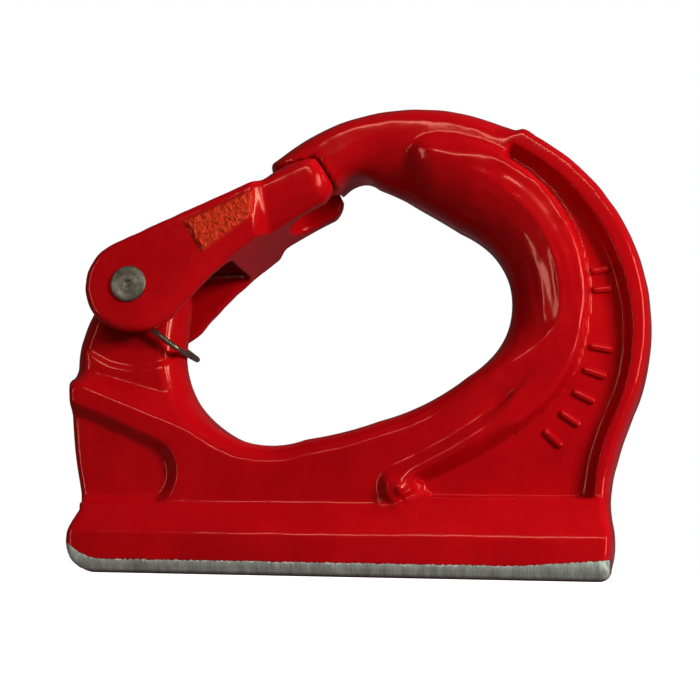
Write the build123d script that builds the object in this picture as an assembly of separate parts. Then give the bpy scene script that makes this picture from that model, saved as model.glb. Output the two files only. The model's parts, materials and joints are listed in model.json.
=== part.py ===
from build123d import *
import math
import os

# Weld-on hook with a forged spring latch, in millimetres.
# X runs along the weld foot towards the bar of the hook, Z is up from the weld face.
# The origin is the centre of the weld face.

# weld foot
FOOT_LENGTH = 132.0
FOOT_WIDTH = 35.0
FOOT_EDGE_TOP = 10.3
FOOT_TOP = 17.2
FOOT_NOSE_RADIUS = 8.0
FOOT_HEEL_RADIUS = 3.0
WELD_BEVEL = 3.0

# one forging: full thicknesses across the hook
BODY_THICKNESS = 24.0
BAR_THICKNESS = 28.0
WEB_THICKNESS = 16.0
POCKET_THICKNESS = 19.0
POST_THICKNESS = 16.0
TONGUE_THICKNESS = 11.0
EDGE_ROUND = 3.0

# latch pivot
PIVOT_X = -53.8
PIVOT_Z = 72.5
PIN_RADIUS = 3.6
PIN_HEAD_RADIUS = 4.4
PIN_HEAD_RISE = 0.6
PIN_DIMPLE_RADIUS = 0.9
PIN_DIMPLE_DEPTH = 0.3
RUNNING_CLEARANCE = 0.05
CHEEK_RELIEF_RADIUS = 20.3
POST_HEAD_RADIUS = 9.3

# latch
LATCH_WIDTH = 32.0
CHEEK_GAP = 23.0
LATCH_END_RADIUS = 11.5
LATCH_REACH = 57.3
LATCH_SLOPE = 23.2
BACK_THICKNESS = 3.5
FORK_SLOT = 12.4
FORK_SLOT_END = 42.0
SEAT_CLEARANCE = 0.5

# spring
WIRE_RADIUS = 0.75
BEND_RADIUS = 2.0
COIL_RADIUS = 6.0
COIL_Y = 9.5
BRIDGE_X = -41.3
BRIDGE_Z = 56.2
LEG_TIP_X = -31.5
LEG_TIP_Z = 79.9

EXTRA = 60.0


def side_face(edges):
    """Closed outline drawn in X and Z, as a face in the plane Y = 0."""
    return Plane.XZ * make_face(edges)


def slab(edges, thickness):
    """Outline in X and Z, thickened evenly to both sides of Y = 0."""
    return extrude(side_face(edges), amount=thickness / 2, both=True)


def both_sides(edges, inner_thickness):
    """Outline in X and Z, as two blocks outside the given thickness."""
    return slab(edges, 2 * EXTRA) - slab(edges, inner_thickness)


def polar(radius, degrees):
    """Point at a distance and angle from the latch pivot, as X and Z."""
    angle = math.radians(degrees)
    return (PIVOT_X + radius * math.cos(angle), PIVOT_Z + radius * math.sin(angle))


def barrel(radius, y_from, y_to, centre=(PIVOT_X, PIVOT_Z)):
    """Cylinder along Y between two Y values."""
    length = y_to - y_from
    middle = (y_from + y_to) / 2
    return Pos(centre[0], middle, centre[1]) * Rot(90, 0, 0) * Cylinder(radius, length)


def hook_outline():
    """The whole silhouette above the foot: heel, bar, nose, eye and post."""
    head_start = polar(POST_HEAD_RADIUS, 62)
    head_top = polar(POST_HEAD_RADIUS, 110)
    head_end = polar(POST_HEAD_RADIUS, 170)
    return (
        Line((-64.8, 6), (66.5, 6))
        + Line((66.5, 6), (66.5, 20))
        + TangentArc((66.5, 20), (68.0, 28.4), tangent=(0, 1))
        + Line((68.0, 28.4), (73.2, 42.7))
        + ThreePointArc((73.2, 42.7), (76.8, 62.8), (50.0, 112.2))
        + ThreePointArc((50.0, 112.2), (18.0, 121.0), (-17.5, 109.6))
        + ThreePointArc((-17.5, 109.6), (-20.2, 106.2), (-18.0, 102.2))
        + Line((-18.0, 102.2), (-8.0, 98.2))
        + ThreePointArc((-8.0, 98.2), (-4.5, 97.8), (-1.2, 99.2))
        + ThreePointArc((-1.2, 99.2), (3.0, 101.0), (7.3, 99.4))
        + ThreePointArc((7.3, 99.4), (17.4, 94.8), (28.9, 88.1))
        + Line((28.9, 88.1), (36.4, 83.0))
        + ThreePointArc((36.4, 83.0), (42.5, 68.1), (32.0, 49.5))
        + ThreePointArc((32.0, 49.5), (22.0, 43.6), (10.0, 39.3))
        + Line((10.0, 39.3), (-9.0, 34.4))
        + ThreePointArc((-9.0, 34.4), (-33.5, 38.2), (-42.6, 55.0))
        + ThreePointArc((-42.6, 55.0), (-42.4, 62.0), (-42.4, 69.0))
        + TangentArc((-42.4, 69.0), head_start, tangent=(0, 1))
        + ThreePointArc(head_start, head_top, head_end)
        + ThreePointArc(head_end, (-66.8, 62.5), (-68.4, 49.5))
        + ThreePointArc((-68.4, 49.5), (-69.6, 45.5), (-68.9, 41.0))
        + ThreePointArc((-68.9, 41.0), (-66.5, 26.0), (-64.8, 14.0))
        + Line((-64.8, 14.0), (-64.8, 6))
    )


def bar_outline():
    """The round bar from the eye outwards, raised above the web and the body."""
    return (
        ThreePointArc((16.7, 103.0), (20.0, 109.4), (28.0, 109.8))
        + ThreePointArc((28.0, 109.8), (52.0, 95.5), (61.6, 69.0))
        + ThreePointArc((61.6, 69.0), (57.8, 51.0), (45.0, 36.4))
        + Line((45.0, 36.4), (22.0, 22.5))
        + ThreePointArc((22.0, 22.5), (12.5, 21.0), (12.6, 28.5))
        + Line((12.6, 28.5), (16.0, 34.0))
        + Line((16.0, 34.0), (33.0, 46.0))
        + ThreePointArc((33.0, 46.0), (46.0, 68.1), (38.5, 86.0))
        + Line((38.5, 86.0), (16.7, 103.0))
    )


def web_outline():
    """The thin web between the bar, the outer rim and the foot."""
    return (
        ThreePointArc((28.0, 109.8), (52.0, 95.5), (61.6, 69.0))
        + ThreePointArc((61.6, 69.0), (57.8, 51.0), (45.0, 36.4))
        + Line((45.0, 36.4), (20.5, 21.6))
        + Line((20.5, 21.6), (22.0, 19.4))
        + Line((22.0, 19.4), (61.5, 19.4))
        + ThreePointArc((61.5, 19.4), (62.9, 30.0), (68.0, 43.5))
        + ThreePointArc((68.0, 43.5), (71.0, 66.0), (56.5, 98.3))
        + ThreePointArc((56.5, 98.3), (44.0, 107.5), (28.0, 109.8))
    )


def pocket_outline():
    """The shallow recess on the post, open towards the outside."""
    return (
        Line((-80.0, 45.0), (-68.7, 42.0))
        + ThreePointArc((-68.7, 42.0), (-58.0, 37.6), (-47.5, 33.0))
        + ThreePointArc((-47.5, 33.0), (-41.2, 25.5), (-47.0, 18.2))
        + Line((-47.0, 18.2), (-80.0, 18.2))
        + Line((-80.0, 18.2), (-80.0, 45.0))
    )


def foot():
    """Weld foot: a long block that sweeps up into the body on both sides."""
    half_length = FOOT_LENGTH / 2
    half_width = FOOT_WIDTH / 2
    half_body = BODY_THICKNESS / 2
    section = (
        Line((-half_width, 0), (half_width, 0))
        + Line((half_width, 0), (half_width, FOOT_EDGE_TOP))
        + ThreePointArc((half_width, FOOT_EDGE_TOP), (14.0, 12.9), (half_body, FOOT_TOP))
        + Line((half_body, FOOT_TOP), (-half_body, FOOT_TOP))
        + ThreePointArc((-half_body, FOOT_TOP), (-14.0, 12.9), (-half_width, FOOT_EDGE_TOP))
        + Line((-half_width, FOOT_EDGE_TOP), (-half_width, 0))
    )
    block = extrude(Plane.YZ * make_face(section), amount=half_length, both=True)
    weld_edges = block.edges().filter_by(Axis.X).group_by(Axis.Z)[0]
    block = chamfer(weld_edges, WELD_BEVEL)
    ends = slab(foot_side_outline(), FOOT_WIDTH)
    return block & ends


def foot_side_outline():
    """Side view of the foot: upturned front end, small heel radius."""
    left = -FOOT_LENGTH / 2
    right = FOOT_LENGTH / 2
    nose = FOOT_NOSE_RADIUS
    heel = FOOT_HEEL_RADIUS
    return (
        Line((left + nose, 0), (right - heel, 0))
        + ThreePointArc((right - heel, 0), (right - 0.29 * heel, 0.29 * heel), (right, heel))
        + Line((right, heel), (right, FOOT_TOP))
        + Line((right, FOOT_TOP), (-64.8, FOOT_TOP))
        + Line((-64.8, FOOT_TOP), (-64.8, 13.8))
        + ThreePointArc((-64.8, 13.8), (-65.7, 12.4), (left, nose))
        + ThreePointArc((left, nose), (left + 0.29 * nose, 0.29 * nose), (left + nose, 0))
    )


def latch_top_line(distance, along):
    """Point at a height over the pivot and a run along the latch's straight back."""
    angle = math.radians(LATCH_SLOPE)
    x = PIVOT_X - distance * math.sin(angle) + along * math.cos(angle)
    z = PIVOT_Z + distance * math.cos(angle) + along * math.sin(angle)
    return (x, z)


def latch_outline():
    """Side view of the latch: round lug, straight back, curved underside, blunt tip."""
    back_start = latch_top_line(LATCH_END_RADIUS, 0)
    tip_top = polar(LATCH_REACH, 34.0)
    tip_low = polar(LATCH_REACH - 0.8, 25.0)
    return (
        Line(back_start, tip_top)
        + ThreePointArc(tip_top, polar(LATCH_REACH, 29.5), tip_low)
        + ThreePointArc(tip_low, (-26.0, 83.2), (-43.9, 65.8))
        + ThreePointArc((-43.9, 65.8), (-48.3, 62.6), (-53.8, 61.6))
        + ThreePointArc((-53.8, 61.6), polar(LATCH_END_RADIUS, 192), back_start)
    )


def nose_recess():
    """Room on both sides of the nose for the fork to swing out of."""
    seat_top = latch_top_line(LATCH_END_RADIUS + SEAT_CLEARANCE, 0)
    reach = LATCH_REACH + SEAT_CLEARANCE
    sweep_outline = (
        Line(seat_top, polar(reach, 34.3))
        + ThreePointArc(polar(reach, 34.3), polar(reach, 20), polar(reach, 5))
        + Line(polar(reach, 5), (PIVOT_X, PIVOT_Z))
        + Line((PIVOT_X, PIVOT_Z), seat_top)
    )
    around_nose = Pos(-10, 0, 107) * Box(40, 2 * EXTRA, 34)
    return both_sides(sweep_outline, TONGUE_THICKNESS) & around_nose


def hook_body():
    plate = slab(hook_outline(), BODY_THICKNESS)
    plate -= both_sides(web_outline(), WEB_THICKNESS)
    plate -= both_sides(pocket_outline(), POCKET_THICKNESS)
    bar = slab(bar_outline(), BAR_THICKNESS)
    body = plate + bar + foot()
    body -= nose_recess()
    relief = barrel(CHEEK_RELIEF_RADIUS, -EXTRA, EXTRA)
    relief -= barrel(CHEEK_RELIEF_RADIUS, -POST_THICKNESS / 2, POST_THICKNESS / 2)
    body -= relief
    body -= barrel(PIN_RADIUS, -EXTRA, EXTRA)
    return body


def latch():
    blank = slab(latch_outline(), LATCH_WIDTH)
    faces = blank.edges().group_by(Axis.Y)
    body = fillet(faces[0] + faces[-1], EDGE_ROUND)
    open_end = latch_top_line(LATCH_END_RADIUS - BACK_THICKNESS, 11.0)
    roof_end = latch_top_line(LATCH_END_RADIUS - BACK_THICKNESS, 23.0)
    over_top = latch_top_line(LATCH_END_RADIUS + 10, 11.0)
    cavity = (
        Line(over_top, open_end)
        + Line(open_end, roof_end)
        + ThreePointArc(roof_end, (-31.2, 84.6), (-29.0, 79.0))
        + Line((-29.0, 79.0), (-29.0, 50.0))
        + Line((-29.0, 50.0), (-75.0, 50.0))
        + Line((-75.0, 50.0), (-75.0, over_top[1]))
        + Line((-75.0, over_top[1]), over_top)
    )
    body -= slab(cavity, CHEEK_GAP)
    body -= fork_slot()
    body -= barrel(PIN_RADIUS + RUNNING_CLEARANCE, -EXTRA, EXTRA)
    return body


def fork_slot():
    """Slot through the tip for the tongue of the hook, with a round inner end."""
    slot = SlotOverall(2 * (LATCH_REACH + 5 - FORK_SLOT_END), FORK_SLOT)
    block = extrude(slot, amount=25, both=True)
    turned = Rot(0, -LATCH_SLOPE, 0) * Pos(LATCH_REACH + 5, 0, 0) * block
    return Pos(PIVOT_X, 0, PIVOT_Z) * turned


def latch_pin():
    """Plain pin, with both ends upset into flat heads that carry a small dimple."""
    under_head = LATCH_WIDTH / 2 + RUNNING_CLEARANCE
    face = under_head + PIN_HEAD_RISE
    pin = barrel(PIN_RADIUS, -under_head, under_head)
    pin += barrel(PIN_HEAD_RADIUS, -face, -under_head)
    pin += barrel(PIN_HEAD_RADIUS, under_head, face)
    pin -= barrel(PIN_DIMPLE_RADIUS, face - PIN_DIMPLE_DEPTH, face + 1)
    pin -= barrel(PIN_DIMPLE_RADIUS, -face - 1, -face + PIN_DIMPLE_DEPTH)
    return pin


def latch_spring():
    """One wire: a wrap round the pin on each side, a bridge round the post, two legs."""
    near_side = spring_half()
    return near_side + mirror(near_side, Plane.XZ)


def spring_half():
    """Leg, wrap round the pin, arm and half of the bridge, up to the plane Y = 0."""
    wrap_from = tangent_angle(LEG_TIP_X, LEG_TIP_Z, 1)
    wrap_to = tangent_angle(BRIDGE_X, BRIDGE_Z, -1)
    wrap_middle = (wrap_from + wrap_to + 360) / 2
    leg_tip = (LEG_TIP_X, -COIL_Y, LEG_TIP_Z)
    corner = Vector(BRIDGE_X, -COIL_Y, BRIDGE_Z)
    arm_start = Vector(*on_coil(wrap_to))
    arm_direction = (corner - arm_start).normalized()
    bend_start = corner - arm_direction * BEND_RADIUS
    bend_end = corner + Vector(0, BEND_RADIUS, 0)
    leg = Line(leg_tip, on_coil(wrap_from))
    wrap = ThreePointArc(on_coil(wrap_from), on_coil(wrap_middle), on_coil(wrap_to))
    arm = Line(arm_start, bend_start)
    bend = TangentArc(bend_start, bend_end, tangent=arm_direction)
    bridge = Line(bend_end, (BRIDGE_X, 0, BRIDGE_Z))
    path = Wire([leg.edge(), wrap.edge(), arm.edge(), bend.edge(), bridge.edge()])
    return sweep(Plane(leg_tip, z_dir=leg % 0) * Circle(WIRE_RADIUS), path=path)


def on_coil(degrees):
    """Point on the middle line of the wire where it wraps round the pin."""
    x, z = polar(COIL_RADIUS, degrees)
    return (x, -COIL_Y, z)


def tangent_angle(x, z, side):
    """Angle at which a straight wire from (x, z) meets the wrap: 1 above, -1 below."""
    distance = math.hypot(x - PIVOT_X, z - PIVOT_Z)
    heading = math.degrees(math.atan2(z - PIVOT_Z, x - PIVOT_X))
    return heading + side * math.degrees(math.acos(COIL_RADIUS / distance))


SUBPARTS = {
    "hook_body": hook_body,
    "latch": latch,
    "latch_pin": latch_pin,
    "latch_spring": latch_spring,
}

os.makedirs("parts", exist_ok=True)
for node_name, make_piece in SUBPARTS.items():
    export_step(make_piece(), f"parts/{node_name}.step")
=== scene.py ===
"""Weld-on lifting hook with a forged spring latch: the looks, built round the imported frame.

The hook and the latch are forgings, so each is one blended surface. It is described as a
distance field in millimetres, in the frame's own axes (X along the foot, Y across, Z up),
then meshed and scaled to metres.
"""
import json
import math

import bpy
import numpy as np
from mathutils import Matrix, Vector


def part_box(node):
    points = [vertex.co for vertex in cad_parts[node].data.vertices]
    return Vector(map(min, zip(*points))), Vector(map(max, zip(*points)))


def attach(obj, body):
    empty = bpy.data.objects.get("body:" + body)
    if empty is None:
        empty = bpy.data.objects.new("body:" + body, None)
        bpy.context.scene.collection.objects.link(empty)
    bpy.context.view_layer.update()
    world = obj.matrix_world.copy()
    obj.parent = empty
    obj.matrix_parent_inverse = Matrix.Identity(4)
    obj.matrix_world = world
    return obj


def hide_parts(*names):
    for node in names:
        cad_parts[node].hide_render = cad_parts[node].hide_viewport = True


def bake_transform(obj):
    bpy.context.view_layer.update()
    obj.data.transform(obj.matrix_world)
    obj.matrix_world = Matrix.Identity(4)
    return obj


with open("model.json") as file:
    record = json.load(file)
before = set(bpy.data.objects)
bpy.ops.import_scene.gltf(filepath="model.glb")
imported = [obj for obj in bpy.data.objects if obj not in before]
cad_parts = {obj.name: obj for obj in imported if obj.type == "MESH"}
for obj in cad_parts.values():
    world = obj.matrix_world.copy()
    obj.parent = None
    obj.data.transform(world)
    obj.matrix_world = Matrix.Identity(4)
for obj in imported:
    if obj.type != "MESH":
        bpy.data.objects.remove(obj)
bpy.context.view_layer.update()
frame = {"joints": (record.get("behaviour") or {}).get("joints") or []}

MM = 0.001
HINGE = frame["joints"][0]
PIVOT_X, _, PIVOT_Z = [v / MM for v in HINGE["pos_m"]]
HOOK_LOW, HOOK_HIGH = [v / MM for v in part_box("hook_body")]
LATCH_LOW, LATCH_HIGH = [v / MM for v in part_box("latch")]
PIN_LOW, PIN_HIGH = [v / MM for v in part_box("latch_pin")]
FOOT_HALF_WIDTH = HOOK_HIGH.y
LATCH_HALF_WIDTH = LATCH_HIGH.y
PIN_FACE = PIN_HIGH.y
PIN_HEAD_RADIUS = (PIN_HIGH.x - PIN_LOW.x) / 2

# hook, half thicknesses either side of the middle plane
BODY_HALF = 12.0
WEB_HALF = 8.2
RIM_HALF = 11.6
BAR_HALF = 14.0
POST_HALF = 7.6
TONGUE_HALF = 5.5
POCKET_HALF = 9.6
NOSE_HALF = 11.4
FOOT_SHOULDER_Z = 10.3
FOOT_TOP_Z = 17.2
WEB_FLOOR_Z = 19.4
BEVEL_Z = 3.0
CHEEK_RELIEF_RADIUS = 20.3
POST_HEAD_RADIUS = 9.3
POST_BORE_RADIUS = 3.75
POST_LEAN_X = 43.0
POST_LEAN_DEPTH = 3.8
FOOT_FLANK = 0.35
FOOT_TOP_FADE = 0.7
TAIL_END_FADE = 5.0
BEVEL_SLANT = 0.55
RIM_WIDTH = 8.2
RIM_FLAT = 3.3
BAR_EDGE = 1.5
TAIL_EDGE = 3.2
BAR_START_EDGE = 6.0
BLOB_X, BLOB_Z = 14.6, 19.6
BLOB_SPREAD = 11.0
BLOB_HEIGHT = 1.1
EYE_EDGE_WIDTH = 4.4
EYE_EDGE_WIDTH_AT_BAR = 12.3
EYE_EDGE_DEPTH = 7.5
EYE_EDGE_DEPTH_AT_BAR = 11.5
CREASE_RIDGES = ((0.0, 0.28), (2.1, 0.18))
CREASE_RIDGE_HALF_WIDTH = 0.8

RING_X, RING_Z = 17.9, 62.0

# latch, along its own straight back
LATCH_SLOPE = math.radians(23.2)
LUG_RADIUS = 12.0
LATCH_REACH = 57.3
PRONG_HALF = 13.9
PRONG_START = 36.8
CHEEK_INNER = 11.5
CHEEK_BORE_RADIUS = 3.85
TIP_ROUND_START = 52.5
HAMMERED_SLANT = 0.61
HAMMERED_START = 14.6
HAMMERED_TOP = 9.2
HAMMERED_LOW_SLOPE = 0.733
HAMMERED_LOW = 106.2
HAMMERED_END_X = -22.4
ARCH_START = 41.0
ARCH_MIDDLE = 48.5
ARCH_RISE = 1.3
FORK_HALF = 6.2
FORK_START = 42.0

# spring
WIRE_RADIUS = 0.75
COIL_RADIUS = 6.0
COIL_INNER_Y, COIL_OUTER_Y = -8.55, -10.55
SPRING_LEG_TIP = (-30.6, -9.4, 79.55)
SPRING_CORNER = (-42.0, -9.3, 56.5)
BRIDGE_BEND = 1.9

HOOK_GRID = 0.72
LATCH_GRID = 0.45
GRID_MARGIN = 3.04


# ---------------------------------------------------------------- outlines

def arc(a, through, b, steps=14):
    """Points of the circle from a through a middle point to b, without b."""
    (ax, ay), (bx, by), (cx, cy) = a, through, b
    d = 2 * (ax * (by - cy) + bx * (cy - ay) + cx * (ay - by))
    sa, sb, sc = ax * ax + ay * ay, bx * bx + by * by, cx * cx + cy * cy
    ux = (sa * (by - cy) + sb * (cy - ay) + sc * (ay - by)) / d
    uy = (sa * (cx - bx) + sb * (ax - cx) + sc * (bx - ax)) / d
    radius = math.hypot(ax - ux, ay - uy)
    start = math.atan2(ay - uy, ax - ux)
    middle = (math.atan2(by - uy, bx - ux) - start) % (2 * math.pi)
    sweep = (math.atan2(cy - uy, cx - ux) - start) % (2 * math.pi)
    if middle > sweep:
        sweep -= 2 * math.pi
    angles = [start + sweep * i / steps for i in range(steps)]
    return [(ux + radius * math.cos(t), uy + radius * math.sin(t)) for t in angles]


def around_pivot(radius, degrees):
    """Point at a distance and angle from the latch pivot."""
    t = math.radians(degrees)
    return (PIVOT_X + radius * math.cos(t), PIVOT_Z + radius * math.sin(t))


def outer_outline():
    """Outside of the hook: foot, heel, bar and nose. It runs on past the nose tip and the post."""
    return (
        [(-58.5, 0.0), (63.0, 0.0)]
        + arc((63.0, 0.0), (65.4, 0.9), (66.2, 3.0), 6)
        + arc((66.2, 3.0), (67.3, 8.5), (66.6, 14.0), 8)
        + arc((66.6, 14.0), (66.4, 20.0), (68.0, 28.4), 10)
        + arc((68.0, 28.4), (70.2, 35.2), (73.2, 42.7), 6)
        + arc((73.2, 42.7), (76.7, 62.8), (49.2, 110.6), 40)
        + arc((49.2, 110.6), (47.9, 111.8), (45.0, 113.2), 5)
        + arc((44.0, 112.6), (18.0, 119.9), (-17.4, 108.6), 40)
        + [(-17.4, 108.6), (-26.0, 102.5), (-90.0, 102.5), (-90.0, 60.0), (-71.0, 50.0)]
        + arc((-71.0, 50.0), (-70.3, 45.6), (-70.1, 41.4), 8)
        + arc((-70.1, 41.4), (-68.2, 27.3), (-65.4, 15.4), 12)
        + arc((-65.4, 15.4), (-66.3, 12.6), (-67.0, 7.2), 8)
        + arc((-67.0, 7.2), (-64.5, 2.1), (-58.5, 0.0), 10)
    )


def eye_outline():
    """Everything that is open: the eye, the gap at the latch and the room left of the post."""
    head_start = around_pivot(POST_HEAD_RADIUS, 62)
    head_end = around_pivot(POST_HEAD_RADIUS, 170)
    return (
        arc((-17.4, 108.6), (-20.2, 105.6), (-18.0, 102.2), 8)
        + [(-18.0, 102.2)]
        + arc((-8.0, 98.4), (-4.5, 98.6), (-1.2, 100.7), 8)
        + arc((-1.2, 100.7), (2.8, 102.3), (7.5, 100.3), 10)
        + arc((7.5, 100.3), (17.4, 95.2), (28.9, 88.1), 14)
        + arc((28.9, 88.1), (33.2, 85.6), (36.4, 83.0), 5)
        + arc((36.4, 83.0), (42.5, 68.1), (32.0, 49.5), 26)
        + arc((32.0, 49.5), (22.0, 43.2), (10.0, 38.7), 10)
        + arc((10.0, 38.7), (0.5, 35.8), (-8.8, 34.0), 6)
        + arc((-8.8, 34.0), (-34.2, 38.5), (-42.9, 55.0), 26)
        + arc((-42.9, 55.0), (-42.6, 62.0), (-41.9, 68.0), 8)
        + arc((-41.9, 68.0), (-43.2, 75.0), head_start, 8)
        + arc(head_start, around_pivot(POST_HEAD_RADIUS, 110), head_end, 14)
        + arc(head_end, (-70.6, 60.0), (-71.0, 50.0), 12)
        + [(-71.0, 50.0), (-95.0, 50.0), (-95.0, 125.0), (-22.0, 125.0)]
    )


def bar_outline(inner):
    """The raised round bar and its tail down to the foot, closed by an inner line."""
    return (
        arc((16.2, 101.0), (17.2, 107.4), (24.4, 110.6), 10)
        + arc((24.4, 110.6), (34.0, 108.2), (47.0, 100.8), 10)
        + arc((47.0, 100.8), (60.6, 78.0), (60.8, 61.0), 18)
        + arc((60.8, 61.0), (57.0, 49.4), (47.5, 38.3), 12)
        + arc((47.5, 38.3), (36.0, 30.4), (21.4, 23.4), 8)
        + arc((21.4, 23.4), (19.4, 18.6), (14.6, 17.8), 6)
        + arc((14.6, 17.8), (10.4, 21.6), (12.2, 26.0), 8)
        + arc((12.2, 26.0), (29.0, 34.6), (44.7, 46.2), 10)
        + inner
    )


def rib_line():
    """Inner line of the band: it carries the tail's inner line on round the bar."""
    return (
        arc((44.7, 46.2), (53.4, 66.0), (46.0, 87.0), 12)
        + arc((46.0, 87.0), (33.0, 96.5), (16.2, 101.0), 8)
    )


def eye_side_line():
    """Inner line of the whole bar, out in the open eye."""
    return [(26.0, 35.0), (12.0, 40.0), (12.0, 70.0), (11.5, 90.0)]


def web_outline():
    """The thin web between the bar and the rim, down to the top of the foot."""
    return (
        [(52.0, 60.0), (46.0, 42.0), (32.0, 32.0), (18.0, 23.0), (15.0, 17.0), (61.4, 17.0)]
        + arc((61.4, 17.0), (62.4, 28.0), (65.4, 37.6), 8)
        + arc((65.4, 37.6), (70.8, 63.0), (60.6, 90.6), 20)
        + arc((60.6, 90.6), (52.6, 99.8), (42.8, 106.6), 12)
        + [(42.8, 106.6), (40.0, 102.0), (50.0, 80.0)]
    )


def pocket_outline():
    """The shallow recess on the post, open to the outside."""
    return (
        [(-90.0, 48.0), (-67.5, 41.0)]
        + arc((-67.5, 41.0), (-58.0, 37.2), (-48.0, 32.8), 8)
        + arc((-48.0, 32.8), (-41.8, 25.6), (-46.0, 17.6), 12)
        + [(-46.0, 17.6), (-90.0, 17.6)]
    )


def latch_outline():
    """Side view of the latch: round lug, straight back, curved underside and blunt tip."""
    back_start = on_back(LUG_RADIUS, 0)
    tip_along = math.sqrt(LATCH_REACH ** 2 - LUG_RADIUS ** 2)
    tip_top = on_back(LUG_RADIUS, tip_along)
    tip_low = around_pivot(LATCH_REACH, 27.6)
    return (
        [back_start]
        + arc(on_back(LUG_RADIUS, ARCH_START), on_back(LUG_RADIUS + ARCH_RISE, ARCH_MIDDLE), tip_top, 12)
        + arc(tip_top, around_pivot(LATCH_REACH, 31.0), tip_low, 8)
        + arc(tip_low, (-3.6, 96.3), (-5.2, 94.2), 6)
        + arc((-5.2, 94.2), (-24.9, 82.0), (-42.7, 64.5), 26)
        + arc((-42.7, 64.5), (-47.6, 61.4), (-53.8, 60.6), 8)
        + arc((-53.8, 60.6), around_pivot(LUG_RADIUS, 192), back_start, 24)
    )


def cavity_outline():
    """The hollow between the cheeks: open over the post, roofed further on, open below."""
    mouth = on_back(LUG_RADIUS + 8, 11.0)
    roof_start = on_back(LUG_RADIUS - 4.0, 11.0)
    roof_end = on_back(LUG_RADIUS - 4.0, 23.0)
    return (
        [mouth, roof_start]
        + arc(roof_end, (-31.2, 84.6), (-28.8, 79.0), 10)
        + [(-28.8, 79.0), (-26.0, 50.0), (-80.0, 50.0), (-80.0, 100.0)]
    )


def on_back(height, along):
    """Point over the pivot, in the latch's own directions."""
    c, s = math.cos(LATCH_SLOPE), math.sin(LATCH_SLOPE)
    return (PIVOT_X - height * s + along * c, PIVOT_Z + height * c + along * s)


# ---------------------------------------------------------------- distance fields

def signed_distance(points, x, z):
    """Distance from each grid point to a closed outline, negative inside."""
    p = np.array(points, float)
    q = np.roll(p, -1, axis=0)
    best = np.full(x.shape, 1e9)
    inside = np.zeros(x.shape, bool)
    for (ax, az), (bx, bz) in zip(p, q):
        ex, ez = bx - ax, bz - az
        length2 = ex * ex + ez * ez
        if length2 < 1e-12:
            continue
        t = np.clip(((x - ax) * ex + (z - az) * ez) / length2, 0, 1)
        best = np.minimum(best, (x - ax - t * ex) ** 2 + (z - az - t * ez) ** 2)
        if az != bz:
            crosses = (az > z) != (bz > z)
            inside ^= crosses & (x < ax + ex * (z - az) / ez)
    return np.where(inside, -1, 1) * np.sqrt(best)


def round_off(skin, side, width, depth, crease):
    """The skin with an elliptical rounding to a side wall, which it leaves in a faint crease.

    The crease lies at the given width from the wall, with the given slope, and the wall
    begins at the given depth below the skin.
    """
    ratio = np.minimum(crease * width / depth, 0.48)
    start = ratio / (1 - ratio)
    reach = (width / (1 - start))[:, None, :]
    fall = (depth / np.sqrt(1 - start * start))[:, None, :]
    proud = fall - depth[:, None, :]
    u = np.maximum(side[:, None, :] / reach + 1, 0)
    v = np.maximum((skin - proud) / fall + 1, 0)
    out = np.sqrt(u * u + v * v)
    slope = np.sqrt((u / reach) ** 2 + (v / fall) ** 2)
    scale = np.where(out > 0.001, out / np.maximum(slope, 1e-6), np.minimum(fall, reach))
    return round_meet(skin, (out - 1) * scale, np.minimum(proud, 0.35))


def step(low, high, value):
    """Smooth rise from 0 at low to 1 at high."""
    t = np.clip((value - low) / (high - low), 0, 1)
    return t * t * (3 - 2 * t)


def mix(a, b, share):
    return a + (b - a) * share


def round_meet(a, b, radius):
    """Inside both a and b, with the edge between them rounded."""
    u, v = np.maximum(a + radius, 0), np.maximum(b + radius, 0)
    return np.minimum(np.maximum(a + radius, b + radius), 0) + np.sqrt(u * u + v * v) - radius


def soft_max(a, b, width):
    """The larger of two heights, with a fillet of about that width where they cross."""
    share = np.clip(0.5 + 0.5 * (a - b) / width, 0, 1)
    return mix(b, a, share) + width * share * (1 - share)


def ripple(x, z, seed, wavelength, count=14):
    """Gentle unevenness with a given wavelength, about -1 to 1."""
    rng = np.random.default_rng(seed)
    total = np.zeros(np.broadcast(x, z).shape)
    for _ in range(count):
        heading, phase = rng.uniform(0, 2 * math.pi, 2)
        length = wavelength * rng.uniform(0.7, 1.5)
        run = (x * math.cos(heading) + z * math.sin(heading)) * 2 * math.pi / length
        total = total + np.sin(run + phase)
    return total / math.sqrt(count)


def grid_axes(low, high, spacing):
    """Grid lines along X and Z, and along Y from the middle plane out, mirrored."""
    xs = np.arange(low.x - GRID_MARGIN, high.x + GRID_MARGIN + spacing, spacing)
    zs = np.arange(low.z - GRID_MARGIN, high.z + GRID_MARGIN + spacing, spacing)
    half = np.arange(spacing / 2, high.y + GRID_MARGIN + spacing, spacing)
    return xs, half, zs


def mirrored(field, half):
    """A field known for positive Y, continued to negative Y."""
    return np.concatenate([field[:, ::-1, :], field], axis=1), np.concatenate([-half[::-1], half])


# ---------------------------------------------------------------- meshing

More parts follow.
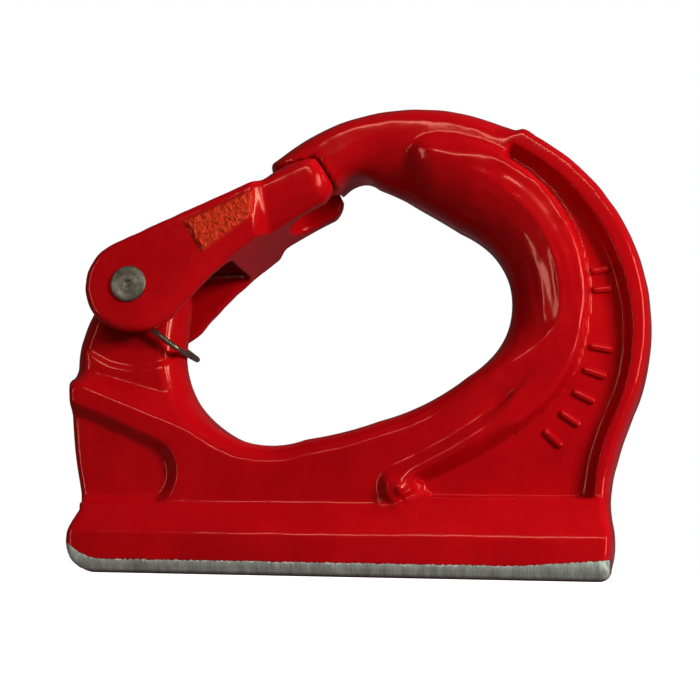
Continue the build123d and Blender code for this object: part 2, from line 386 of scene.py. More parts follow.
def surface_mesh(name, field, xs, ys, zs):
    """Closed quad mesh where the field is zero: one point per crossed cell, one quad per edge."""
    nx, ny, nz = field.shape
    cells = (nx - 1) * (ny - 1) * (nz - 1)
    axes = (xs, ys, zs)
    total = np.zeros((cells, 3))
    count = np.zeros(cells)
    quads = []
    for axis in range(3):
        lower = np.take(field, range(field.shape[axis] - 1), axis)
        upper = np.take(field, range(1, field.shape[axis]), axis)
        found = np.array(np.nonzero((lower < 0) != (upper < 0)))
        a, b = lower[tuple(found)], upper[tuple(found)]
        share = a / (a - b)
        point = np.stack([axes[k][found[k]] for k in range(3)], 1).astype(float)
        line = axes[axis]
        point[:, axis] += share * (line[found[axis] + 1] - line[found[axis]])
        side_1, side_2 = [k for k in (0, 1, 2) if k != axis]
        corners = []
        valid = np.ones(len(a), bool)
        for step_1, step_2 in ((0, 0), (-1, 0), (-1, -1), (0, -1)):
            cell = found.copy()
            cell[side_1] += step_1
            cell[side_2] += step_2
            for k, size in ((side_1, field.shape[side_1]), (side_2, field.shape[side_2])):
                valid &= (cell[k] >= 0) & (cell[k] < size - 1)
            corners.append((cell[0] * (ny - 1) + cell[1]) * (nz - 1) + cell[2])
        corners = np.array(corners)[:, valid]
        for ids in corners:
            count += np.bincount(ids, minlength=cells)
            for k in range(3):
                total[:, k] += np.bincount(ids, point[valid, k], minlength=cells)
        outward = (a < 0)[valid]
        if axis == 1:
            outward = ~outward
        quads.append(np.where(outward, corners, corners[::-1]).T)
    used = np.nonzero(count)[0]
    lookup = np.zeros(cells, int)
    lookup[used] = np.arange(len(used))
    points = settle(total[used] / count[used, None], used, field, axes)
    return new_mesh(name, points, lookup[np.concatenate(quads)].tolist())


def settle(points, cells, field, axes):
    """Moves each point of the net onto the surface, along the slope of the field in its cell."""
    nx, ny, nz = field.shape
    first = np.array(np.unravel_index(cells, (nx - 1, ny - 1, nz - 1)))
    low = np.stack([axes[k][first[k]] for k in range(3)], 1)
    size = np.stack([axes[k][first[k] + 1] for k in range(3)], 1) - low
    corner = {}
    for i in (0, 1):
        for j in (0, 1):
            for k in (0, 1):
                corner[i, j, k] = field[first[0] + i, first[1] + j, first[2] + k]
    for _ in range(2):
        share = (points - low) / size
        value, slope = 0.0, np.zeros((len(points), 3))
        for key, f in corner.items():
            weight = [share[:, n] if key[n] else 1 - share[:, n] for n in range(3)]
            sign = [1 if key[n] else -1 for n in range(3)]
            value = value + f * weight[0] * weight[1] * weight[2]
            slope[:, 0] += sign[0] * f * weight[1] * weight[2]
            slope[:, 1] += sign[1] * f * weight[0] * weight[2]
            slope[:, 2] += sign[2] * f * weight[0] * weight[1]
        slope /= size
        steep = np.maximum((slope ** 2).sum(1), 0.05)
        points = np.clip(points - slope * (value / steep)[:, None], low, low + size)
    return points


def new_mesh(name, points_mm, faces):
    """Smooth shaded mesh object from points in millimetres."""
    mesh = bpy.data.meshes.new(name)
    mesh.from_pydata((np.asarray(points_mm) * MM).tolist(), [], faces)
    mesh.validate()
    mesh.polygons.foreach_set("use_smooth", np.ones(len(mesh.polygons), bool))
    mesh.update()
    obj = bpy.data.objects.new(name, mesh)
    bpy.context.scene.collection.objects.link(obj)
    return obj


# ---------------------------------------------------------------- hook body

def foot_half_width(x, z):
    """Half width of the foot at each height: ground bevel, straight edge, slope to the body."""
    top = mix(FOOT_TOP_Z, WEB_FLOOR_Z, step(14, 21, x))
    rise = np.clip((z - FOOT_SHOULDER_Z) / (top - FOOT_SHOULDER_Z), 0, 1)
    slope = 1 - rise - 0.08 * rise * (1 - rise)
    half = BODY_HALF + FOOT_FLANK + (FOOT_HALF_WIDTH - BODY_HALF - FOOT_FLANK) * slope
    half = half - BEVEL_SLANT * np.clip(BEVEL_Z - z, 0, BEVEL_Z)
    fade = mix(FOOT_TOP_FADE, TAIL_END_FADE, step(11, 14, x) * step(24, 21, x))
    return half * np.clip((top + fade - z) / fade, 0, 1)


def body_half_thickness(x, z):
    """Half thickness of the forging above the foot, as relief over the side view."""
    half = np.full(x.shape, BODY_HALF)
    lower_line = 37.6 - 0.40 * (x + POST_LEAN_X)
    upper_line = 44.8 - 0.27 * (x + POST_LEAN_X)
    lean = np.clip((z - lower_line) / (upper_line - lower_line), 0, 1) * step(-30, -38, x)
    half -= POST_LEAN_DEPTH * lean
    half = mix(half, NOSE_HALF, step(86, 102, z) * step(26, 2, x))
    half -= 1.2 * step(2, -22, x) * step(88, 98, z)
    beyond_ring = np.clip(np.hypot(x - RING_X, z - RING_Z) - 45, 0, 12)
    half -= 0.022 * beyond_ring * step(-14, 20, x) * step(46, 40, x)
    pocket = signed_distance(pocket_outline(), x, z)
    half = mix(half, POCKET_HALF, step(1.8, -2.2, pocket))
    web = signed_distance(web_outline(), x, z)
    half = mix(half, WEB_HALF, step(0.9, -1.0, web))
    return half


def add_rim(half, x, z, outside):
    """The rim: a rounded wall just inside the outer edge of the web."""
    along = step(38, 50, x) * step(118, 106, z)
    climb = np.clip((outside + RIM_WIDTH) / (RIM_WIDTH - RIM_FLAT), 0, 1)
    wall = climb * climb * along
    return np.maximum(half, mix(WEB_HALF, RIM_HALF, wall) * (wall > 0))


def add_bar(half, x, z):
    """The bar stands proud of the body and the web, and falls off to the eye on the inside."""
    tail = step(46, 36, x) * step(60, 45, z)
    start = step(46, 20, x) * step(80, 92, z)
    width = BAR_EDGE + TAIL_EDGE * tail + BAR_START_EDGE * start
    arched = np.maximum(tail, start)
    band = bar_rise(signed_distance(bar_outline(rib_line()), x, z), width, arched)
    whole = bar_rise(signed_distance(bar_outline(eye_side_line()), x, z), width, arched)
    rise = mix(band, whole, step(37, 54, z))
    return mix(half, BAR_HALF + draw_marks(x, z), rise)


def bar_rise(outline, width, arched):
    """Share of the bar's height near its edge: a round shoulder, or an arch on the tail."""
    shoulder = np.clip(-outline / width, 0, 1)
    return mix(np.sqrt(1 - (1 - shoulder) ** 2), 1 - (1 - shoulder) ** 2, arched)


def draw_marks(x, z):
    """Fine ridges that run along the bar, where the forging was dressed."""
    dx, dz = x - RING_X, z - RING_Z
    radius, angle = np.hypot(dx, dz), np.arctan2(dz, dx)
    fine = np.sin(radius * 2.5 + 1.3 * np.sin(angle * 9))
    coarse = np.sin(radius * 1.7 + 2.0 * np.sin(angle * 5 + 1))
    ends = step(-0.9, -0.4, angle) * step(1.5, 1.0, angle)
    return 0.04 * (fine + coarse) * ends * (0.6 + 0.4 * np.sin(angle * 7))


def nose_recess_half(half, x, z):
    """The nose is thinned to a tongue where the fork of the latch lies on both sides of it."""
    s, t = latch_directions(x, z)
    reach = np.hypot(x - PIVOT_X, z - PIVOT_Z)
    arch = ARCH_RISE * np.maximum(1 - ((s - ARCH_MIDDLE) / (ARCH_MIDDLE - ARCH_START)) ** 2, 0)
    room = round_meet(reach - LATCH_REACH - 0.15, t - LUG_RADIUS - arch - 0.2, 1.0)
    near_nose = step(88, 92, z)
    return mix(half, TONGUE_HALF, step(0.3, -0.3, room) * near_nose)


def latch_directions(x, z):
    """Run along the latch's back from the pivot, and height over it."""
    c, s = math.cos(LATCH_SLOPE), math.sin(LATCH_SLOPE)
    dx, dz = x - PIVOT_X, z - PIVOT_Z
    return dx * c + dz * s, dz * c - dx * s


def hook_body():
    """The forging: relief over the side view, rounded to the outside and to the eye."""
    xs, half_ys, zs = grid_axes(HOOK_LOW, HOOK_HIGH, HOOK_GRID)
    x, z = np.meshgrid(xs, zs, indexing="ij")
    outside = signed_distance(outer_outline(), x, z)
    opening = -signed_distance(eye_outline(), x, z)
    half = body_half_thickness(x, z)
    half = add_rim(half, x, z, outside)
    half = add_bar(half, x, z)
    half = nose_recess_half(half, x, z)
    relief = np.hypot(x - PIVOT_X, z - PIVOT_Z) - CHEEK_RELIEF_RADIUS
    half = mix(half, POST_HALF, step(0.8, -0.5, relief))
    bar_side = step(-2, 16, x) * step(49, 63, z)
    eye_width = mix(EYE_EDGE_WIDTH, EYE_EDGE_WIDTH_AT_BAR, bar_side)
    for inward, height in CREASE_RIDGES:
        ridge = np.exp(-(((opening + eye_width + inward) / CREASE_RIDGE_HALF_WIDTH) ** 2))
        half = half + height * bar_side * ridge * step(100, 90, z)
    half = soft_max(half, foot_half_width(x, z), 0.5)
    half = half + 0.035 * ripple(x, z, 3, 9.0) + 0.02 * ripple(x, z, 4, 4.0)
    blob = np.exp(-((x - BLOB_X) ** 2 + (z - BLOB_Z) ** 2) / BLOB_SPREAD)
    half = half + blob * (BLOB_HEIGHT + 0.45 * ripple(x, z, 6, 3.0))
    outside = outside + 0.04 * ripple(x, z, 5, 9.0) * step(1.0, 6.0, z)

    nose = step(46, 38, x) * step(80, 90, z)
    left = step(-52, -58, x)
    bottom = step(5.0, 0.8, z)
    full_depth = np.maximum(half - 0.6, 1.0)
    outer_width = mix(mix(mix(2.4, 4.6, nose), 1.3, left), 0.4, bottom)
    outer_depth = mix(mix(full_depth, 1.2, left), 0.4, bottom)
    eye_depth = np.minimum(mix(EYE_EDGE_DEPTH, EYE_EDGE_DEPTH_AT_BAR, bar_side), full_depth)
    skin = half_ys[None, :, None] - half[:, None, :]
    outer_skin = round_off(skin, outside, outer_width, outer_depth, 0.45)
    eye_skin = round_off(skin, opening, eye_width, eye_depth, mix(0.5, 0.27, bar_side))
    field = np.maximum(outer_skin, eye_skin)
    bore = POST_BORE_RADIUS - np.hypot(x - PIVOT_X, z - PIVOT_Z)
    field = np.maximum(field, bore[:, None, :])
    field, ys = mirrored(field, half_ys)
    body = surface_mesh("hook_forging", field, xs, ys, zs)
    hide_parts("hook_body")
    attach(body, "hook")
    return body


# ---------------------------------------------------------------- latch

def latch():
    """The latch: two cheeks over the post, a solid bar and a forked tip, dented on one cheek."""
    xs, half_ys, zs = grid_axes(LATCH_LOW, LATCH_HIGH, LATCH_GRID)
    x, z = np.meshgrid(xs, zs, indexing="ij")
    outline = signed_distance(latch_outline(), x, z)
    cavity = signed_distance(cavity_outline(), x, z)
    s, t = latch_directions(x, z)
    low_side = step(8.0, 1.0, t) * step(-4, 5, s)
    edge_width = mix(1.5, 4.3, low_side)
    edge_depth = mix(1.4, 2.5, low_side)
    step_at = PRONG_START + 0.32 * t
    prong = step(-2.4, 1.8, s - step_at)
    crown = (0.030 * np.clip(8.8 - t, 0, 9.5) ** 2 + 0.16 * np.clip(t - 9.6, 0, 3) ** 2) * prong
    tip_round = 0.10 * np.clip(s - TIP_ROUND_START, 0, 6) ** 2
    half = mix(LATCH_HALF_WIDTH - 0.05, PRONG_HALF, prong) - crown - tip_round
    half = half + 0.025 * ripple(x, z, 11, 7.0) + 0.012 * ripple(x, z, 12, 3.2)
    outline = outline + 0.05 * ripple(x, z, 13, 6.0)
    y = half_ys[None, :, None]
    skin = y - half[:, None, :]
    field = round_off(skin, outline, edge_width, edge_depth, 0.27)
    hollow = round_meet(cavity[:, None, :], y - CHEEK_INNER, 2.2)
    field = round_meet(field, -hollow, 0.7)
    fork = np.hypot(np.minimum(s - FORK_START - FORK_HALF, 0)[:, None, :], y) - FORK_HALF
    field = round_meet(field, -fork, 1.0)
    bore = CHEEK_BORE_RADIUS - np.hypot(x - PIVOT_X, z - PIVOT_Z)
    field = np.maximum(field, bore[:, None, :])
    field, ys = mirrored(field, half_ys)
    field = field + hammering(x, z)[:, None, :] * (ys < -8)[None, :, None]
    body = surface_mesh("latch_forging", field, xs, ys, zs)
    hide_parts("latch")
    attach(body, "latch")
    return body


def hammering(x, z):
    """Small dents in a patch on the near cheek."""
    t = latch_directions(x, z)[1]
    start = step(-0.8, 0.8, x + HAMMERED_SLANT * z - HAMMERED_START)
    end = step(HAMMERED_END_X + 0.8, HAMMERED_END_X - 0.8, x)
    low = step(-0.8, 0.8, z - HAMMERED_LOW_SLOPE * x - HAMMERED_LOW)
    patch = start * end * low * step(HAMMERED_TOP + 0.6, HAMMERED_TOP - 0.6, t)
    return 0.14 * patch * ripple(x, z, 21, 1.8, 20)


# ---------------------------------------------------------------- small pieces

def lathe_y(name, profile, centre, steps=64):
    """Solid of revolution about Y from (radius, y) points that start and end on the axis."""
    points = []
    for radius, y in profile:
        for i in range(steps):
            angle = 2 * math.pi * i / steps
            points.append((centre[0] + radius * math.cos(angle), y, centre[1] + radius * math.sin(angle)))
    faces = []
    for ring in range(len(profile) - 1):
        for i in range(steps):
            j = (i + 1) % steps
            a, b = ring * steps + i, ring * steps + j
            faces.append((a, b, b + steps, a + steps))
    faces.append(tuple(reversed(range(steps))))
    last = (len(profile) - 1) * steps
    faces.append(tuple(last + i for i in range(steps)))
    return new_mesh(name, points, faces)


def pin():
    """Pin with two upset heads: rounded rim, shallow ring groove and centre dimple."""
    under = LATCH_HALF_WIDTH + 0.05
    face = PIN_FACE
    r = PIN_HEAD_RADIUS + 0.25
    head = [
        (0.25, face - 0.42), (0.7, face - 0.34), (1.0, face - 0.10), (1.25, face - 0.03),
        (2.1, face - 0.02), (2.35, face - 0.09), (2.6, face - 0.10), (2.85, face - 0.03),
        (3.4, face), (r - 0.35, face - 0.02), (r - 0.1, face - 0.14), (r, face - 0.34),
        (r, under), (3.6, under),
    ]
    profile = [(radius, -y) for radius, y in head] + [(radius, y) for radius, y in reversed(head)]
    body = lathe_y("pin_steel_rod", profile, (PIVOT_X, PIVOT_Z))
    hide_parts("latch_pin")
    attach(body, "hook")
    return body


def spring_line():
    """Middle line of the spring wire on the near side, from the leg's tip to the bridge."""
    tip = np.array(SPRING_LEG_TIP)
    corner = np.array(SPRING_CORNER)
    wrap_from = tangent_angle(tip, 1)
    wrap_to = tangent_angle(corner, -1) + 720
    line = [tip, tip + [-0.8, 0.0, 0.35]]
    count = 84
    for i in range(count + 1):
        share = i / count
        angle = math.radians(mix(wrap_from, wrap_to, share))
        y = mix(COIL_INNER_Y, COIL_OUTER_Y, share)
        x = PIVOT_X + COIL_RADIUS * math.cos(angle)
        z = PIVOT_Z + COIL_RADIUS * math.sin(angle)
        line.append(np.array([x, y, z]))
    arm = corner - line[-1]
    arm /= np.linalg.norm(arm)
    for i in range(9):
        turn = math.radians(90 * i / 8)
        inward = np.array([0, BRIDGE_BEND * (1 - math.cos(turn)), 0])
        line.append(corner - arm * BRIDGE_BEND * (1 - math.sin(turn)) + inward)
    line.append(np.array([corner[0], 0.0, corner[2]]))
    return line


def tangent_angle(point, side):
    """Angle on the coil, in degrees, where a straight wire from a point meets it."""
    dx, dz = point[0] - PIVOT_X, point[2] - PIVOT_Z
    heading = math.degrees(math.atan2(dz, dx))
    return heading + side * math.degrees(math.acos(COIL_RADIUS / math.hypot(dx, dz)))


def tube(name, line, radius, sides=12):
    """Round wire along a line of points, with domed ends."""
    line = np.array(line, float)
    ahead = np.gradient(line, axis=0)
    ahead /= np.linalg.norm(ahead, axis=1)[:, None]
    across = np.cross(ahead[0], [0, 1, 0])
    across /= np.linalg.norm(across)
    rings = []
    for k, direction in enumerate(ahead):
        across = across - direction * across.dot(direction)
        across /= np.linalg.norm(across)
        third = np.cross(direction, across)
        turns = 2 * math.pi * np.arange(sides) / sides
        ring = np.outer(np.cos(turns), across) + np.outer(np.sin(turns), third)
        if k == 0:
            for back, size in ((0.55, 0.45), (0.4, 0.8)):
                rings.append(line[0] - direction * radius * back + ring * radius * size)
        rings.append(line[k] + ring * radius)
        if k == len(ahead) - 1:
            for on, size in ((0.4, 0.8), (0.55, 0.45)):
                rings.append(line[-1] + direction * radius * on + ring * radius * size)
    points = np.concatenate(rings)
    faces = []
    for k in range(len(rings) - 1):
        for i in range(sides):
            j = (i + 1) % sides
            faces.append((k * sides + i, k * sides + j, (k + 1) * sides + j, (k + 1) * sides + i))
    faces.append(tuple(reversed(range(sides))))
    faces.append(tuple((len(rings) - 1) * sides + i for i in range(sides)))
    return new_mesh(name, points, faces)


def spring():
    """The double torsion spring: one wire, the same on both sides of the middle plane."""
    near = spring_line()
    far = [p * [1, -1, 1] for p in reversed(near[:-1])]
    wire = tube("spring_wire", near + far, WIRE_RADIUS)
    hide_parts("latch_spring")
    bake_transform(wire)
    return wire


def raised_marks():
    """Plain raised bars on the web where a forging carries its marks, with no lettering."""
    points, faces = [], []
    places = [(64.4, 75.4, 9, 2.5), (64.8, 70.6, 3, 2.5)]
    for degrees in (-12, -20, -28, -36, -44):
        t = math.radians(degrees)
        places.append((20.0 + 45.4 * math.cos(t), 65.5 + 45.4 * math.sin(t), degrees, 3.0))
    for cx, cz, degrees, half_length in places:
        add_bar_mark(points, faces, cx, cz, math.radians(degrees), half_length)
    marks = new_mesh("raised_marks", points, faces)
    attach(marks, "hook")
    return marks


def add_bar_mark(points, faces, cx, cz, heading, half_length):
    """One low domed bar that stands on the web."""
    half_width, height = 1.0, 0.85
    rings, sides = 5, 24
    base = len(points)
    for ring in range(rings + 1):
        up = math.pi / 2 * ring / rings
        spread = math.cos(up) ** 0.8 if ring < rings else 0.02
        rise = -0.6 if ring == 0 else height * math.sin(up)
        for i in range(sides):
            a = 2 * math.pi * i / sides
            along = math.copysign(half_length - half_width, math.cos(a)) + half_width * math.cos(a)
            along = along * (0.35 + 0.65 * spread) if ring == rings else along * (0.75 + 0.25 * spread)
            side = half_width * math.sin(a) * spread
            x = cx + along * math.cos(heading) - side * math.sin(heading)
            z = cz + along * math.sin(heading) + side * math.cos(heading)
            points.append((x, -(WEB_HALF + rise), z))
    for ring in range(rings):
        for i in range(sides):
            j = (i + 1) % sides
            a, b = base + ring * sides + i, base + ring * sides + j
            faces.append((a, b, b + sides, a + sides))
    faces.append(tuple(base + rings * sides + i for i in range(sides)))
    faces.append(tuple(reversed([base + i for i in range(sides)])))


# ---------------------------------------------------------------- materials

GLOSS_TINT = (1.0, 0.42, 0.32)


class Nodes:
    """Short way to build a node tree round one Principled shader."""

    def __init__(self, name):
        self.material = bpy.data.materials.new(name)
        self.material.use_nodes = True
        self.tree = self.material.node_tree
        self.shader = self.tree.nodes["Principled BSDF"]
        self.place = self.add("ShaderNodeTexCoord").outputs["Object"]

    def add(self, kind, **values):
        node = self.tree.nodes.new(kind)
        for key, value in values.items():
            if key in node.inputs:
                node.inputs[key].default_value = value
            else:
                setattr(node, key, value)
        return node

    def link(self, source, target):
        self.tree.links.new(source, target)

    def noise(self, scale, detail=3.0, roughness=0.5, stretch=None):
        node = self.add("ShaderNodeTexNoise", Scale=scale, Detail=detail, Roughness=roughness)
        place = self.place
        if stretch:
            mapping = self.add("ShaderNodeMapping", Scale=stretch)
            self.link(place, mapping.inputs["Vector"])
            place = mapping.outputs["Vector"]
        self.link(place, node.inputs["Vector"])
        return node.outputs["Fac"]

    def ramp(self, source, stops):
        node = self.add("ShaderNodeValToRGB")
        ramp = node.color_ramp
        ramp.elements[0].position, ramp.elements[0].color = stops[0][0], rgba(stops[0][1])
        ramp.elements[1].position, ramp.elements[1].color = stops[-1][0], rgba(stops[-1][1])
        for position, color in stops[1:-1]:
            ramp.elements.new(position).color = rgba(color)
        self.link(source, node.inputs["Fac"])
        return node.outputs["Color"]

    def spread(self, source, low, high, to_low, to_high):
        node = self.add("ShaderNodeMapRange")
        for key, value in (("From Min", low), ("From Max", high), ("To Min", to_low), ("To Max", to_high)):
            node.inputs[key].default_value = value
        self.link(source, node.inputs["Value"])
        return node.outputs["Result"]

    def math(self, operation, a, b):
        node = self.add("ShaderNodeMath", operation=operation)
        for slot_number, value in enumerate((a, b)):
            if isinstance(value, (int, float)):
                node.inputs[slot_number].default_value = value
            else:
                self.link(value, node.inputs[slot_number])
        return node.outputs["Value"]

    def mix_color(self, share, a, b):
        node = self.add("ShaderNodeMix", data_type="RGBA")
        self.link(share, node.inputs["Factor"])
        for slot_number, value in ((6, a), (7, b)):
            if isinstance(value, tuple):
                node.inputs[slot_number].default_value = rgba(value)
            else:
                self.link(value, node.inputs[slot_number])
        return node.outputs[2]

    def bump(self, heights):
        """Adds bumps one after another: each is (height, distance in metres, strength)."""
        normal = None
        for height, distance, strength in heights:
            node = self.add("ShaderNodeBump", Distance=distance, Strength=strength)
            self.link(height, node.inputs["Height"])
            if normal:
                self.link(normal, node.inputs["Normal"])
            normal = node.outputs["Normal"]
        self.link(normal, self.shader.inputs["Normal"])


def rgba(color):
    return (*color, 1.0)


def axis_value(nodes, axis):
    """One coordinate of the surface point, in metres."""
    split = nodes.add("ShaderNodeSeparateXYZ")
    nodes.link(nodes.place, split.inputs["Vector"])
    return split.outputs[axis]


def enamel_color(nodes):
    """Deep red enamel, a little uneven in thickness."""
    return nodes.ramp(
        nodes.noise(45, 4, 0.6),
        [(0.25, (0.40, 0.001, 0.004)), (0.55, (0.50, 0.002, 0.005)), (0.8, (0.58, 0.004, 0.006))],
    )


def hook_material():
    """Gloss enamel, with a strip of bare ground steel round the lower edge of the foot. Painted shade darkens
    that steel at the very bottom and the enamel just above it, and painted glints speck the steel along the
    enamel's edge.
    """
    nodes = Nodes("red_enamel_forging")
    wavy = nodes.noise(110, 2, 0.5)
    pitted = nodes.noise(700, 2, 0.6)
    ragged = nodes.spread(nodes.noise(1300, 3, 0.6), 0.3, 0.7, -0.0002, 0.0002)
    right_rise = nodes.spread(axis_value(nodes, "X"), 0.045, 0.0655, 0.0, 0.0017)
    left_share = nodes.spread(axis_value(nodes, "X"), -0.0570, -0.0665, 0.0, 1.0)
    left_rise = nodes.math("MULTIPLY", nodes.math("POWER", left_share, 2.0), 0.0040)
    uneven = nodes.math("ADD", ragged, right_rise)
    edge = nodes.math("ADD", uneven, nodes.math("ADD", left_rise, (BEVEL_Z + 0.3) * MM))
    below = nodes.math("SUBTRACT", edge, axis_value(nodes, "Z"))
    heel = nodes.spread(axis_value(nodes, "X"), 0.0655, 0.0658, 1.0, 0.0)
    bare = nodes.math("MULTIPLY", nodes.spread(below, -0.00008, 0.00008, 0.0, 1.0), heel)
    grind = nodes.noise(420, 3, 0.7, stretch=(6.0, 1.0, 0.35))
    steel = nodes.ramp(
        nodes.noise(160, 5, 0.7, stretch=(3.0, 1.0, 1.0)),
        [(0.25, (0.26, 0.33, 0.28)), (0.5, (0.46, 0.55, 0.48)), (0.78, (0.72, 0.82, 0.75))],
    )
    # painted shade: the steel turns dark towards the very bottom of the bevel, where the underside lies in
    # shade
    bottom_shade = nodes.spread(axis_value(nodes, "Z"), 0.0002, 0.0012, 0.0, 1.0)
    steel = nodes.mix_color(bottom_shade, (0.12, 0.13, 0.12), steel)
    # painted glints: near-white specks on the steel just below the enamel edge
    at_edge = nodes.spread(below, 0.0001, 0.0005, 1.0, 0.0)
    edge_glints = nodes.math("MULTIPLY", at_edge, nodes.spread(nodes.noise(900, 2, 0.6), 0.52, 0.62, 0.0, 1.0))
    steel = nodes.mix_color(edge_glints, steel, (0.95, 1.0, 0.98))
    # painted shadow: the enamel darkens in a thin line along its lower edge
    edge_shadow = nodes.spread(below, -0.00028, -0.0001, 0.0, 0.8)
    enamel = nodes.mix_color(edge_shadow, enamel_color(nodes), (0.10, 0.004, 0.006))
    nodes.link(nodes.mix_color(bare, enamel, steel), nodes.shader.inputs["Base Color"])
    gloss = nodes.spread(nodes.noise(60, 2, 0.5), 0.3, 0.7, 0.10, 0.17)
    rough = nodes.math("ADD", gloss, nodes.math("MULTIPLY", bare, 0.30))
    nodes.link(rough, nodes.shader.inputs["Roughness"])
    nodes.link(nodes.math("MULTIPLY", bare, 0.4), nodes.shader.inputs["Metallic"])
    scratch = nodes.math("MULTIPLY", grind, bare)
    nodes.shader.inputs["Specular Tint"].default_value = rgba(GLOSS_TINT)
    nodes.bump([(wavy, 0.00018, 0.5), (pitted, 0.00003, 0.4), (scratch, 0.0003, 0.6)])
    return nodes.material


def latch_material():
    """Gloss enamel, rougher over the hammered patch on the cheek, where a brighter orange base colour is a
    painted sheen of warm glints.
    """
    nodes = Nodes("red_enamel_latch")
    wavy = nodes.noise(140, 2, 0.5)
    dents = nodes.noise(900, 3, 0.6)
    patch = hammered_patch_and_sheen(nodes)
    # painted sheen: a brighter orange base colour over the dented patch stands in for its warm glints; the
    # dents themselves are real bumps
    color = nodes.mix_color(patch, enamel_color(nodes), (0.72, 0.038, 0.010))
    nodes.link(color, nodes.shader.inputs["Base Color"])
    nodes.link(nodes.spread(nodes.noise(70, 2, 0.5), 0.3, 0.7, 0.12, 0.2), nodes.shader.inputs["Roughness"])
    nodes.shader.inputs["Specular Tint"].default_value = rgba(GLOSS_TINT)
    nodes.bump([(wavy, 0.00018, 0.5), (nodes.math("MULTIPLY", dents, patch), 0.0014, 1.0)])
    return nodes.material


def hammered_patch_and_sheen(nodes):
    """1 over the dressed patch on the near cheek, which starts on a slant below the back; it carries the real
    dents and the painted sheen.
    """
    x, z = axis_value(nodes, "X"), axis_value(nodes, "Z")
    c, sin_slope = math.cos(LATCH_SLOPE), math.sin(LATCH_SLOPE)
    slant = nodes.math("ADD", x, nodes.math("MULTIPLY", z, HAMMERED_SLANT))
    start = nodes.spread(slant, (HAMMERED_START - 0.8) * MM, (HAMMERED_START + 0.8) * MM, 0.0, 1.0)
    end = nodes.spread(x, (HAMMERED_END_X - 0.8) * MM, (HAMMERED_END_X + 0.8) * MM, 1.0, 0.0)
    height = nodes.math("SUBTRACT", nodes.math("MULTIPLY", z, c), nodes.math("MULTIPLY", x, sin_slope))
    pivot_height = PIVOT_Z * c - PIVOT_X * sin_slope
    limit = pivot_height + HAMMERED_TOP
    top = nodes.spread(height, (limit - 0.5) * MM, (limit + 0.5) * MM, 1.0, 0.0)
    rise = nodes.math("SUBTRACT", z, nodes.math("MULTIPLY", x, HAMMERED_LOW_SLOPE))
    low = nodes.spread(rise, (HAMMERED_LOW - 0.8) * MM, (HAMMERED_LOW + 0.8) * MM, 0.0, 1.0)
    patch = nodes.math("MULTIPLY", nodes.math("MULTIPLY", start, end), nodes.math("MULTIPLY", top, low))
    return nodes.math("MULTIPLY", patch, near_side(nodes))


def near_side(nodes):
    """1 on the outer face of the near cheek."""
    return nodes.spread(axis_value(nodes, "Y"), -0.0155, -0.0145, 1.0, 0.0)


def pin_material():
    """Turned steel with fine rings and a dull green-grey tone."""
    nodes = Nodes("pin_steel")
    dx = nodes.math("SUBTRACT", axis_value(nodes, "X"), PIVOT_X * MM)
    dz = nodes.math("SUBTRACT", axis_value(nodes, "Z"), PIVOT_Z * MM)
    square = nodes.math("ADD", nodes.math("MULTIPLY", dx, dx), nodes.math("MULTIPLY", dz, dz))
    reach = nodes.math("SQRT", square, 0.0)
    rings = nodes.math("SINE", nodes.math("MULTIPLY", reach, 14000.0), 0.0)
    color = nodes.ramp(
        nodes.noise(500, 5, 0.7),
        [(0.25, (0.09, 0.085, 0.06)), (0.5, (0.21, 0.20, 0.155)), (0.8, (0.40, 0.385, 0.32))],
    )
    nodes.link(color, nodes.shader.inputs["Base Color"])
    nodes.shader.inputs["Metallic"].default_value = 0.9
    nodes.link(nodes.spread(nodes.noise(300, 3, 0.6), 0.3, 0.7, 0.32, 0.5), nodes.shader.inputs["Roughness"])
    nodes.bump([(rings, 0.00005, 0.35), (nodes.noise(1500, 3, 0.6), 0.0001, 0.35)])
    return nodes.material


def spring_material():
    """Drawn spring wire with a bronze cast and fine lengthwise drawing marks."""
    nodes = Nodes("spring_steel")
    color = nodes.ramp(
        nodes.noise(260, 4, 0.6),
        [(0.25, (0.16, 0.12, 0.085)), (0.55, (0.33, 0.28, 0.22)), (0.8, (0.52, 0.48, 0.42))],
    )
    nodes.link(color, nodes.shader.inputs["Base Color"])
    nodes.shader.inputs["Metallic"].default_value = 0.9
    nodes.link(nodes.spread(nodes.noise(600, 3, 0.5), 0.3, 0.7, 0.22, 0.36), nodes.shader.inputs["Roughness"])
    nodes.bump([(nodes.noise(2400, 2, 0.5), 0.00006, 0.3)])
    return nodes.material


def paint(obj, material):
    """Gives a piece its one material."""
    obj.data.materials.clear()
    obj.data.materials.append(material)


# ---------------------------------------------------------------- stage

def floor():
    """A large pale floor that the weld face stands on."""
    size = 0.6
    mesh = bpy.data.meshes.new("floor")
    corners = [(-size, -size, 0), (size, -size, 0), (size, size, 0), (-size, size, 0)]
    mesh.from_pydata(corners, [], [(0, 1, 2, 3)])
    obj = bpy.data.objects.new("floor", mesh)
    bpy.context.scene.collection.objects.link(obj)
    nodes = Nodes("pale_floor")
    nodes.shader.inputs["Base Color"].default_value = (0.9, 0.9, 0.9, 1)
    nodes.shader.inputs["Roughness"].default_value = 0.8
    nodes.shader.inputs["Emission Color"].default_value = (1, 1, 1, 1)
    nodes.shader.inputs["Emission Strength"].default_value = 0.85
    paint(obj, nodes.material)
    obj.visible_glossy = False
    obj.visible_diffuse = False


def area_light(name, place, aim, width, height, power, color=(1, 1, 1)):
    """Soft box at a place in metres, facing a point."""
    data = bpy.data.lights.new(name, "AREA")
    data.shape = "RECTANGLE"
    data.size, data.size_y = width, height
    data.energy = power
    data.color = color
    light = bpy.data.objects.new(name, data)
    bpy.context.scene.collection.objects.link(light)
    light.location = place
    light.rotation_euler = (Vector(aim) - Vector(place)).to_track_quat("-Z", "Y").to_euler()
    return light


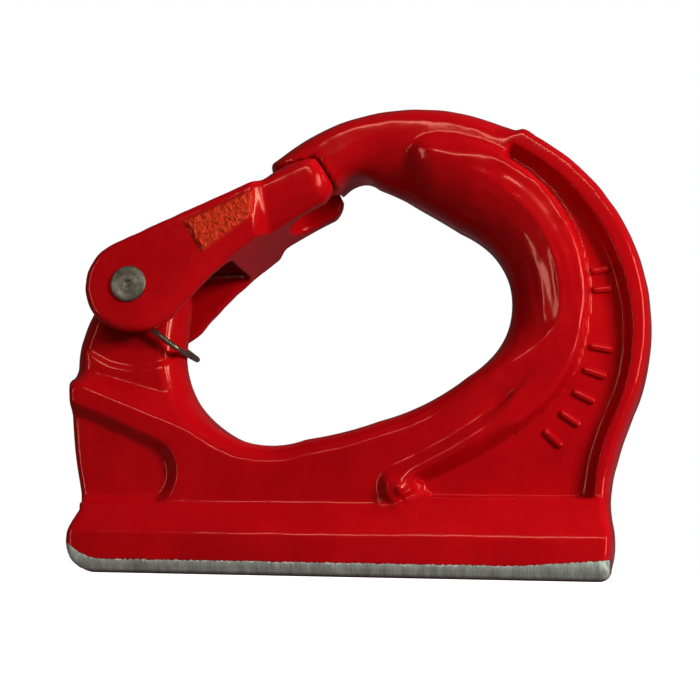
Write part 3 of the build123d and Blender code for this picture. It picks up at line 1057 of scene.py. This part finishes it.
def lights():
    """Soft boxes in front, above and behind, strips that only gloss sees, and a near fill."""
    aim = (0.0, 0.0, 0.07)
    area_light("key_box", (0.0, -1.15, 0.66), aim, 0.8, 0.085, 2.95, (1.0, 0.9, 0.8))
    top = area_light("top_box", (0.40, -0.2, 0.92), aim, 0.5, 0.4, 2.0, (1.0, 0.97, 0.93))
    top.visible_glossy = False
    for name, place, power in (
        ("right_strip", (1.0, -0.55, 0.25), 5.5),
        ("right_strip_near", (0.85, -0.85, 0.30), 3.4),
        ("left_strip", (-0.85, -0.85, 0.22), 1.3),
    ):
        strip = area_light(name, place, aim, 0.045, 0.7, power, (1.0, 0.95, 0.85))
        strip.visible_diffuse = False
    fill = area_light("right_fill", (0.42, -0.28, 0.20), aim, 0.15, 0.15, 2.6)
    fill.visible_glossy = False
    back = area_light("back_fill", (0.1, 0.9, 0.8), aim, 1.0, 0.3, 6.5)
    back.visible_glossy = False
    studio_room()
    bpy.context.scene.view_settings.view_transform = "Standard"


def studio_room():
    """Dim room that the gloss reflects, darker above than below, in front of white paper."""
    world = bpy.data.worlds.new("studio")
    bpy.context.scene.world = world
    world.use_nodes = True
    tree = world.node_tree
    room = tree.nodes["Background"]
    room.inputs["Strength"].default_value = 1.0
    heading = tree.nodes.new("ShaderNodeTexCoord")
    split = tree.nodes.new("ShaderNodeSeparateXYZ")
    shade = tree.nodes.new("ShaderNodeValToRGB")
    shade.color_ramp.elements[0].position = 0.0
    shade.color_ramp.elements[0].color = (0.13, 0.07, 0.08, 1)
    shade.color_ramp.elements[1].position = 0.03
    shade.color_ramp.elements[1].color = (0.04, 0.04, 0.04, 1)
    tree.links.new(heading.outputs["Generated"], split.inputs["Vector"])
    tree.links.new(split.outputs["Z"], shade.inputs["Fac"])
    tree.links.new(shade.outputs["Color"], room.inputs["Color"])
    paper = tree.nodes.new("ShaderNodeBackground")
    paper.inputs["Color"].default_value = (1, 1, 1, 1)
    rays = tree.nodes.new("ShaderNodeLightPath")
    blend = tree.nodes.new("ShaderNodeMixShader")
    tree.links.new(rays.outputs["Is Camera Ray"], blend.inputs[0])
    tree.links.new(room.outputs[0], blend.inputs[1])
    tree.links.new(paper.outputs[0], blend.inputs[2])
    tree.links.new(blend.outputs[0], tree.nodes["World Output"].inputs["Surface"])


def camera():
    """Low viewpoint a little right of the middle, looking slightly up and left."""
    yaw, pitch, roll = math.radians(10.1), math.radians(-9.1), math.radians(1.06)
    focus = Vector((3.75, -16.0, 54.9)) * MM
    distance = 330.0 * MM
    back = Vector((math.sin(yaw) * math.cos(pitch), -math.cos(yaw) * math.cos(pitch), math.sin(pitch)))
    right = (-back).cross(Vector((0, 0, 1))).normalized()
    up = right.cross(-back)
    turned_right = right * math.cos(roll) + up * math.sin(roll)
    turned_up = up * math.cos(roll) - right * math.sin(roll)
    data = bpy.data.cameras.new("camera")
    data.sensor_width = 36.0
    data.lens = 69.3
    data.clip_start = 0.01
    obj = bpy.data.objects.new("camera", data)
    bpy.context.scene.collection.objects.link(obj)
    rotation = Matrix((turned_right, turned_up, back)).transposed().to_4x4()
    obj.matrix_world = Matrix.Translation(focus + back * distance) @ rotation
    bpy.context.scene.camera = obj


# ---------------------------------------------------------------- build

red_enamel = hook_material()
paint(hook_body(), red_enamel)
paint(raised_marks(), red_enamel)
paint(latch(), latch_material())
paint(pin(), pin_material())
paint(spring(), spring_material())
floor()
lights()
camera()
